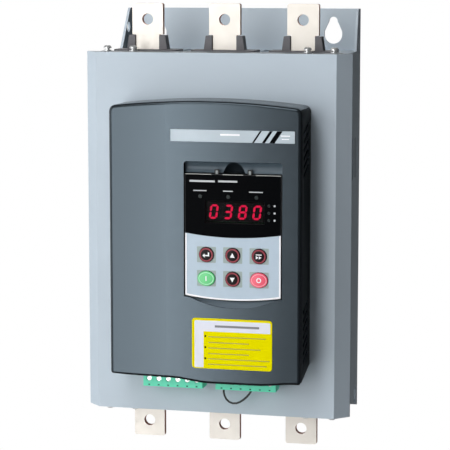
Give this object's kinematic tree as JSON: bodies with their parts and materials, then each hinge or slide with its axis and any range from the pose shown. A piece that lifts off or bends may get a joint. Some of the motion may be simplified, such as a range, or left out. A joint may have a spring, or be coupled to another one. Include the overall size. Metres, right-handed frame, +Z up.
{
  "type": "soft starter",
  "caption": "Wall-mounted three-phase motor soft starter with a folded sheet case, copper busbars at both ends and a moulded control housing with a pull-out keypad.",
  "frame": {"origin": "centre of the wall plate's back face, which lies on the wall", "axes": "+X to the right seen from the front, +Y into the wall, +Z up; the front faces -Y"},
  "size_m": [0.211, 0.142, 0.3485],
  "materials": {
    "painted_sheet": "light blue-grey powder coat",
    "zinc": "bright zinc plating",
    "tinned_copper": "tin-plated copper",
    "aluminium": "extruded, natural",
    "black_plastic": "moulded, matte",
    "charcoal_plastic": "moulded, fine grain",
    "board": "solder mask",
    "terminal_green": "moulded",
    "silver_strip": "satin strip",
    "yellow_label": "printed film",
    "overlay": "printed film",
    "window_red": "smoked clear plastic",
    "digit_red": "lit segments",
    "key_black": "moulded",
    "key_green": "moulded",
    "key_red": "moulded"
  },
  "bodies": {
    "case": {"chassis": "painted_sheet", "top_panel": "painted_sheet", "bottom_panel": "painted_sheet", "front_cover": "painted_sheet", "cover_screws": "zinc", "line_bushing_left": "black_plastic", "line_bushing_middle": "black_plastic", "line_bushing_right": "black_plastic", "load_bushing_left": "black_plastic", "load_bushing_middle": "black_plastic", "load_bushing_right": "black_plastic", "line_bar_left": "tinned_copper", "line_bar_middle": "tinned_copper", "line_bar_right": "tinned_copper", "load_bar_left": "tinned_copper", "load_bar_middle": "tinned_copper", "load_bar_right": "tinned_copper", "heatsink": "aluminium", "thyristor_left": "black_plastic", "thyristor_middle": "black_plastic", "thyristor_right": "black_plastic", "bar_screws": "zinc", "current_transformer_left": "black_plastic", "current_transformer_middle": "black_plastic", "current_transformer_right": "black_plastic", "transformer_bracket": "zinc", "trigger_board": "board", "board_pillars": "zinc", "fan_frame_left": "black_plastic", "fan_frame_right": "black_plastic", "control_housing": "charcoal_plastic", "badge_strip": "silver_strip", "label_plate": "yellow_label", "control_board": "board", "board_spacers": "zinc", "terminal_header_left": "terminal_green", "terminal_header_right": "terminal_green", "terminal_plug_left": "terminal_green", "terminal_plug_right": "terminal_green", "terminal_screws": "zinc", "jumper_wire": "black_plastic"},
    "keypad": {"keypad_case": "black_plastic", "keypad_overlay": "overlay", "keypad_window": "window_red", "keypad_display": "black_plastic", "display_digits": "digit_red", "keypad_board": "board", "indicator_lamps": "digit_red"},
    "set_button": {"key_set": "key_black"},
    "up_button": {"key_up": "key_black"},
    "program_button": {"key_program": "key_black"},
    "run_button": {"key_run": "key_green"},
    "down_button": {"key_down": "key_black"},
    "stop_button": {"key_stop": "key_red"},
    "left_rotor": {"fan_rotor_left": "black_plastic"},
    "right_rotor": {"fan_rotor_right": "black_plastic"}
  },
  "joints": [
    {"name": "keypad_pull", "type": "slide", "parent": "case", "child": "keypad", "axis": [0, -1, 0], "range_m": [0, 0.012]},
    {"name": "set_press", "type": "slide", "parent": "keypad", "child": "set_button", "axis": [0, 1, 0], "range_m": [0, 0.0006], "stiffness_N_per_m": 1000, "springref_m": -0.0004},
    {"name": "up_press", "type": "slide", "parent": "keypad", "child": "up_button", "axis": [0, 1, 0], "range_m": [0, 0.0006], "stiffness_N_per_m": 1000, "springref_m": -0.0004},
    {"name": "program_press", "type": "slide", "parent": "keypad", "child": "program_button", "axis": [0, 1, 0], "range_m": [0, 0.0006], "stiffness_N_per_m": 1000, "springref_m": -0.0004},
    {"name": "run_press", "type": "slide", "parent": "keypad", "child": "run_button", "axis": [0, 1, 0], "range_m": [0, 0.0006], "stiffness_N_per_m": 1000, "springref_m": -0.0004},
    {"name": "down_press", "type": "slide", "parent": "keypad", "child": "down_button", "axis": [0, 1, 0], "range_m": [0, 0.0006], "stiffness_N_per_m": 1000, "springref_m": -0.0004},
    {"name": "stop_press", "type": "slide", "parent": "keypad", "child": "stop_button", "axis": [0, 1, 0], "range_m": [0, 0.0006], "stiffness_N_per_m": 1000, "springref_m": -0.0004},
    {"name": "left_fan_spin", "type": "hinge", "parent": "case", "child": "left_rotor", "pos_m": [-0.045, -0.033, -0.136], "axis": [0, 0, 1], "continuous": true},
    {"name": "right_fan_spin", "type": "hinge", "parent": "case", "child": "right_rotor", "pos_m": [0.045, -0.033, -0.136], "axis": [0, 0, 1], "continuous": true}
  ]
}
